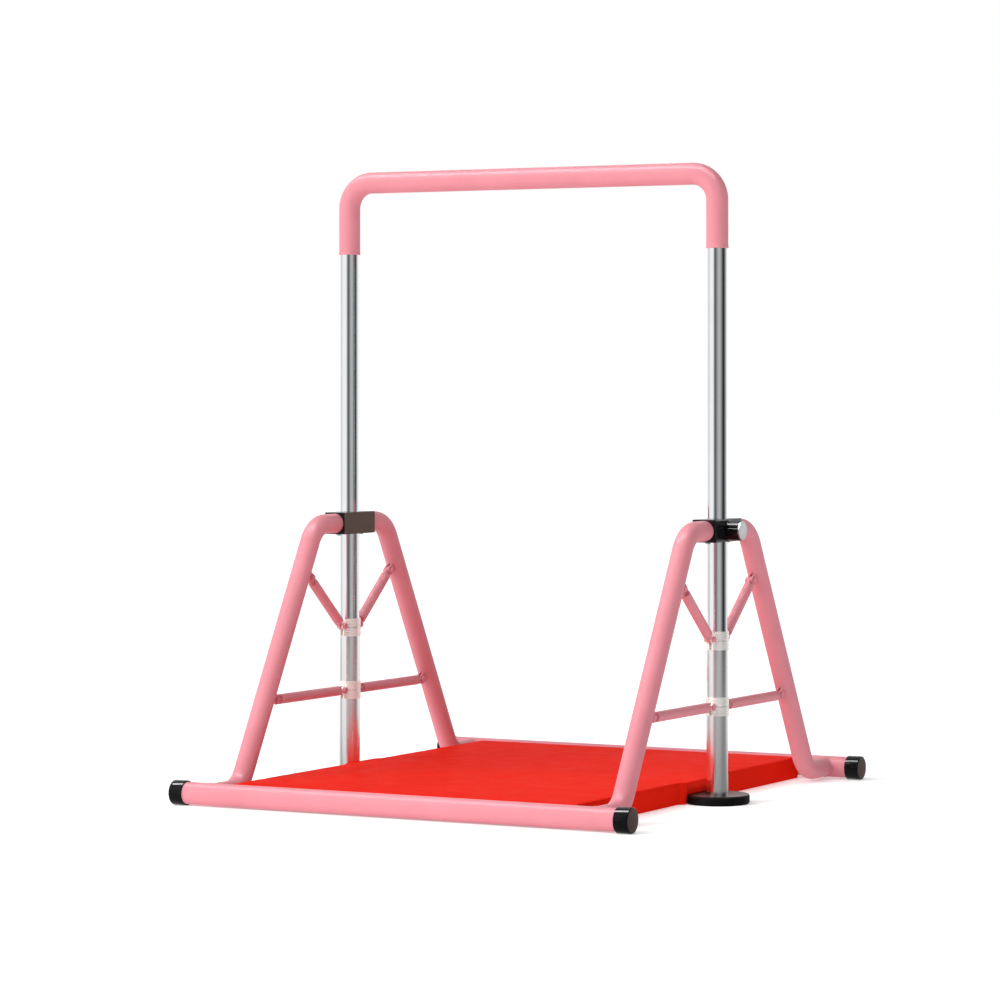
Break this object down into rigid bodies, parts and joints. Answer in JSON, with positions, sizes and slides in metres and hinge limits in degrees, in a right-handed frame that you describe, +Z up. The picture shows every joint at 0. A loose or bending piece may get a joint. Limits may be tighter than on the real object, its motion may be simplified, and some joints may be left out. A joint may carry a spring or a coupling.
{
  "type": "gymnastics kip bar",
  "caption": "Height-adjustable horizontal gymnastics bar on two sliding chrome uprights, held by a double A-frame tube stand over a padded landing mat.",
  "frame": {"origin": "on the floor, midway between the two uprights", "axes": "+X along the bar to the right, -Y to the front, +Z up; metres"},
  "size_m": [0.9484, 1.048, 1.1865],
  "materials": {
    "bar_paint": "gloss pink powder coat",
    "stand_paint": "gloss pink powder coat",
    "plated_steel": "zinc plated",
    "chrome_tube": "polished chrome",
    "post_tube": "polished chrome",
    "foot_steel": "bright plated",
    "foot_rubber": "matt moulded rubber",
    "hub_black": "gloss black",
    "hub_bronze": "satin grey brown",
    "nylon": "moulded nylon",
    "black_gloss": "gloss moulded",
    "knob_steel": "satin end disc",
    "collar_metal": "satin",
    "mat_vinyl": "smooth coated fabric, slightly glossy",
    "mat_foam": "closed cell foam"
  },
  "bodies": {
    "stand": {"hub_leg_screws": "plated_steel", "front_ground_tube": "stand_paint", "rear_ground_tube": "stand_paint", "left_post": "post_tube", "left_foot_plate": "foot_steel", "left_foot_pad": "foot_rubber", "left_hub": "hub_black", "left_hub_cover": "hub_bronze", "left_guide_bush": "nylon", "left_upper_collar": "collar_metal", "left_lower_collar": "collar_metal", "left_strut_bolts": "stand_paint", "left_strut_nuts": "stand_paint", "right_post": "post_tube", "right_foot_plate": "foot_steel", "right_foot_pad": "foot_rubber", "right_hub": "hub_black", "right_hub_cover": "hub_bronze", "right_guide_bush": "nylon", "right_upper_collar": "collar_metal", "right_lower_collar": "collar_metal", "right_strut_bolts": "stand_paint", "right_strut_nuts": "stand_paint", "front_left_leg": "stand_paint", "front_left_brackets": "stand_paint", "front_left_cap": "black_gloss", "front_left_upper_strut": "stand_paint", "front_left_lower_strut": "stand_paint", "front_right_leg": "stand_paint", "front_right_brackets": "stand_paint", "front_right_cap": "black_gloss", "front_right_upper_strut": "stand_paint", "front_right_lower_strut": "stand_paint", "rear_left_leg": "stand_paint", "rear_left_brackets": "stand_paint", "rear_left_cap": "black_gloss", "rear_left_upper_strut": "stand_paint", "rear_left_lower_strut": "stand_paint", "rear_right_leg": "stand_paint", "rear_right_brackets": "stand_paint", "rear_right_cap": "black_gloss", "rear_right_upper_strut": "stand_paint", "rear_right_lower_strut": "stand_paint"},
    "bar": {"bar_tube": "bar_paint", "bar_joint_screws": "plated_steel", "left_upright": "chrome_tube", "left_upright_plug": "nylon", "right_upright": "chrome_tube", "right_upright_plug": "nylon"},
    "mat": {"mat_cover": "mat_vinyl", "mat_foam": "mat_foam"},
    "left_clamp": {"left_clamp_pad": "nylon"},
    "left_knob": {"left_clamp_knob": "black_gloss", "left_knob_cap": "knob_steel", "left_clamp_stud": "plated_steel"},
    "right_clamp": {"right_clamp_pad": "nylon"},
    "right_knob": {"right_clamp_knob": "black_gloss", "right_knob_cap": "knob_steel", "right_clamp_stud": "plated_steel"}
  },
  "joints": [
    {"name": "bar_height", "type": "slide", "parent": "stand", "child": "bar", "axis": [0, 0, 1], "range_m": [-0.11, 0.11]},
    {"name": "mat_lift", "type": "slide", "parent": "stand", "child": "mat", "axis": [0, 0, 1], "range_m": [0, 0.1]},
    {"name": "left_clamp_travel", "type": "slide", "parent": "stand", "child": "left_clamp", "axis": [-1, 0, 0], "range_m": [0, 0.0031]},
    {"name": "left_knob_turn", "type": "hinge", "parent": "left_clamp", "child": "left_knob", "pos_m": [-0.396, 0, 0.505], "axis": [-1, 0, 0], "range_deg": [0, 720]},
    {"name": "right_clamp_travel", "type": "slide", "parent": "stand", "child": "right_clamp", "axis": [1, 0, 0], "range_m": [0, 0.0031]},
    {"name": "right_knob_turn", "type": "hinge", "parent": "right_clamp", "child": "right_knob", "pos_m": [0.396, 0, 0.505], "axis": [1, 0, 0], "range_deg": [0, 720]}
  ],
  "couplings": [
    {"joint": "left_clamp_travel", "follows": "left_knob_turn", "m_per_rad": 0.00023873},
    {"joint": "right_clamp_travel", "follows": "right_knob_turn", "m_per_rad": 0.00023873}
  ]
}
